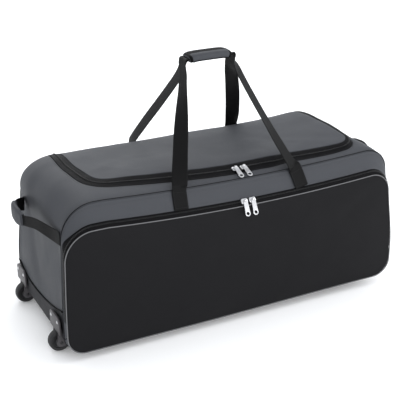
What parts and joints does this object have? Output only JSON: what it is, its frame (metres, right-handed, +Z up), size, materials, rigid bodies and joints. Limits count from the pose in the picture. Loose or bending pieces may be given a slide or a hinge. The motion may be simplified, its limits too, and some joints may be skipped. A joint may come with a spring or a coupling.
{
  "type": "wheeled kit bag",
  "caption": "Long soft kit bag with a zipped lid, a zipped front pocket, a wrapped carry handle, end handles and small wheels under one end, standing closed and filled.",
  "frame": {"origin": "on the ground under the middle of the bag's box", "axes": "+X along the bag's length with the wheels at -X, -Y towards the pocket side, +Z up"},
  "size_m": [1.0358, 0.4262, 0.6865],
  "materials": {
    "grey_cloth": "mid-grey woven polyester, matt with a slight sheen",
    "black_cloth": "near-black woven polyester, matt",
    "ribbed_base": "dark grey ribbed hard-wearing cloth",
    "zip_tape": "black woven tape",
    "zip_chain": "black coil zip teeth",
    "dark_braid": "dark corded edge",
    "pale_braid": "light grey corded edge",
    "webbing": "black ribbed strap",
    "nickel": "bright plated zip hardware",
    "moulded_plastic": "dark grey moulded plastic, satin",
    "tyre_rubber": "black rubber",
    "hub_plastic": "black moulded plastic",
    "steel": "bright plated steel"
  },
  "bodies": {
    "bag": {"body_band": "grey_cloth", "base_tray": "ribbed_base", "kick_piping": "dark_braid", "lid_panel": "grey_cloth", "lid_zip_tape": "zip_tape", "lid_zip_chain": "zip_chain", "pocket_gusset": "grey_cloth", "pocket_zip_tape": "zip_tape", "pocket_zip_chain": "zip_chain", "pocket_panel": "black_cloth", "front_wall": "grey_cloth", "back_panel": "grey_cloth", "front_seam_piping": "dark_braid", "back_seam_piping": "dark_braid", "pocket_piping": "pale_braid", "carry_strap_front": "webbing", "carry_strap_back": "webbing", "carry_grip": "grey_cloth", "end_strap_left": "webbing", "end_grip_left": "grey_cloth", "end_strap_right": "webbing", "end_grip_right": "grey_cloth", "lid_slider_left": "nickel", "lid_slider_right": "nickel", "pocket_slider_left": "nickel", "pocket_slider_right": "nickel", "wheel_housing_front": "moulded_plastic", "wheel_housing_rear": "moulded_plastic", "wheel_axle_front": "steel", "wheel_axle_rear": "steel", "rivet_front_a": "steel", "rivet_front_b": "steel", "rivet_rear_a": "steel", "rivet_rear_b": "steel", "rest_foot_front": "moulded_plastic", "rest_foot_rear": "moulded_plastic"},
    "wheel_front": {"wheel_tyre_front": "tyre_rubber", "wheel_hub_front": "hub_plastic"},
    "wheel_rear": {"wheel_tyre_rear": "tyre_rubber", "wheel_hub_rear": "hub_plastic"},
    "lid_tab_left": {"lid_pull_left": "nickel"},
    "lid_tab_right": {"lid_pull_right": "nickel"},
    "pocket_tab_left": {"pocket_pull_left": "nickel"},
    "pocket_tab_right": {"pocket_pull_right": "nickel"}
  },
  "joints": [
    {"name": "front_wheel_spin", "type": "hinge", "parent": "bag", "child": "wheel_front", "pos_m": [-0.46841, -0.11618, 0.029], "axis": [0, 1, 0], "continuous": true},
    {"name": "rear_wheel_spin", "type": "hinge", "parent": "bag", "child": "wheel_rear", "pos_m": [-0.46841, 0.16182, 0.029], "axis": [0, 1, 0], "continuous": true},
    {"name": "lid_left_tab_swing", "type": "hinge", "parent": "bag", "child": "lid_tab_left", "pos_m": [0.02762, -0.12673, 0.41367], "axis": [-0.9999, 0.0128, 0.0062], "range_deg": [0, 150]},
    {"name": "lid_right_tab_swing", "type": "hinge", "parent": "bag", "child": "lid_tab_right", "pos_m": [0.05161, -0.1268, 0.41358], "axis": [-1, -0.0082, 0.0009], "range_deg": [0, 150]},
    {"name": "pocket_left_tab_swing", "type": "hinge", "parent": "bag", "child": "pocket_tab_left", "pos_m": [0.01959, -0.19457, 0.34748], "axis": [-1, 0, 0], "range_deg": [0, 150]},
    {"name": "pocket_right_tab_swing", "type": "hinge", "parent": "bag", "child": "pocket_tab_right", "pos_m": [0.04259, -0.19457, 0.34728], "axis": [-1, 0, 0], "range_deg": [0, 150]}
  ]
}
